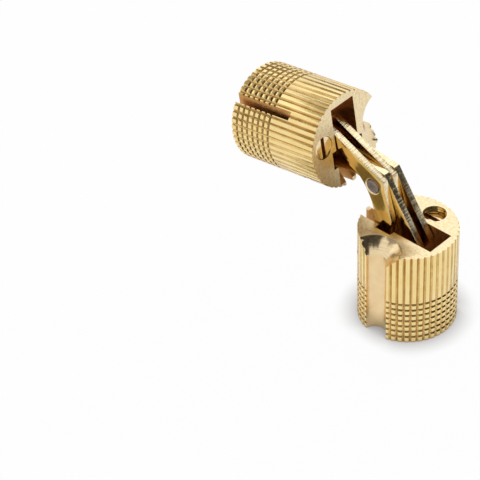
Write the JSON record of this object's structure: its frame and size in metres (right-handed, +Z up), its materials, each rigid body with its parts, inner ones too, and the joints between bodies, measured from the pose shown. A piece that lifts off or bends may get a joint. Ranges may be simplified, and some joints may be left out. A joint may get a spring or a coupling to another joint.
{
  "type": "invisible barrel hinge",
  "caption": "Concealed hinge with two knurled brass barrels for drilled holes, joined by crossed link plates that slide in slots; shown about half open.",
  "frame": {"origin": "centre of the lower barrel's bottom end, on its axis", "axes": "+Z up the lower barrel's axis, out of its mouth; the pins lie along Y; the upper barrel and the knuckle side are towards -X, and the lower barrel's screw groove faces -Y"},
  "size_m": [0.034, 0.014, 0.0315],
  "materials": {
    "barrel_brass": "turned, bright",
    "link_brass": "blanked, bright",
    "screw_brass": "turned, bright",
    "pin_steel": "ground"
  },
  "bodies": {
    "lower": {"lower_barrel": "barrel_brass", "lower_pivot_pin": "pin_steel", "lower_clamp_screw": "screw_brass"},
    "lower_links": {"lower_outer_link": "link_brass", "lower_inner_link": "link_brass", "upper_slide_pin": "pin_steel", "centre_rivet": "pin_steel"},
    "upper_links": {"upper_outer_link": "link_brass", "upper_inner_link": "link_brass", "lower_slide_pin": "pin_steel"},
    "upper": {"upper_barrel": "barrel_brass", "upper_pivot_pin": "pin_steel", "upper_clamp_screw": "screw_brass"}
  },
  "joints": [
    {"name": "lower_pivot", "type": "hinge", "parent": "lower", "child": "lower_links", "pos_m": [-0.00512, 0, 0.01135], "axis": [0, -1, 0], "range_deg": [-60.4, 49.86]},
    {"name": "centre_pivot", "type": "hinge", "parent": "lower_links", "child": "upper_links", "pos_m": [-0.00472, 0, 0.02077], "axis": [0, -1, 0], "range_deg": [-18.38, 22.25]},
    {"name": "upper_pivot", "type": "hinge", "parent": "upper_links", "child": "upper", "pos_m": [-0.01398, 0, 0.01897], "axis": [0, -1, 0], "range_deg": [-60.45, 49.91]}
  ],
  "couplings": [
    {"joint": "centre_pivot", "follows": "lower_pivot", "ratio": -0.3675},
    {"joint": "upper_pivot", "follows": "lower_pivot", "ratio": 1}
  ]
}
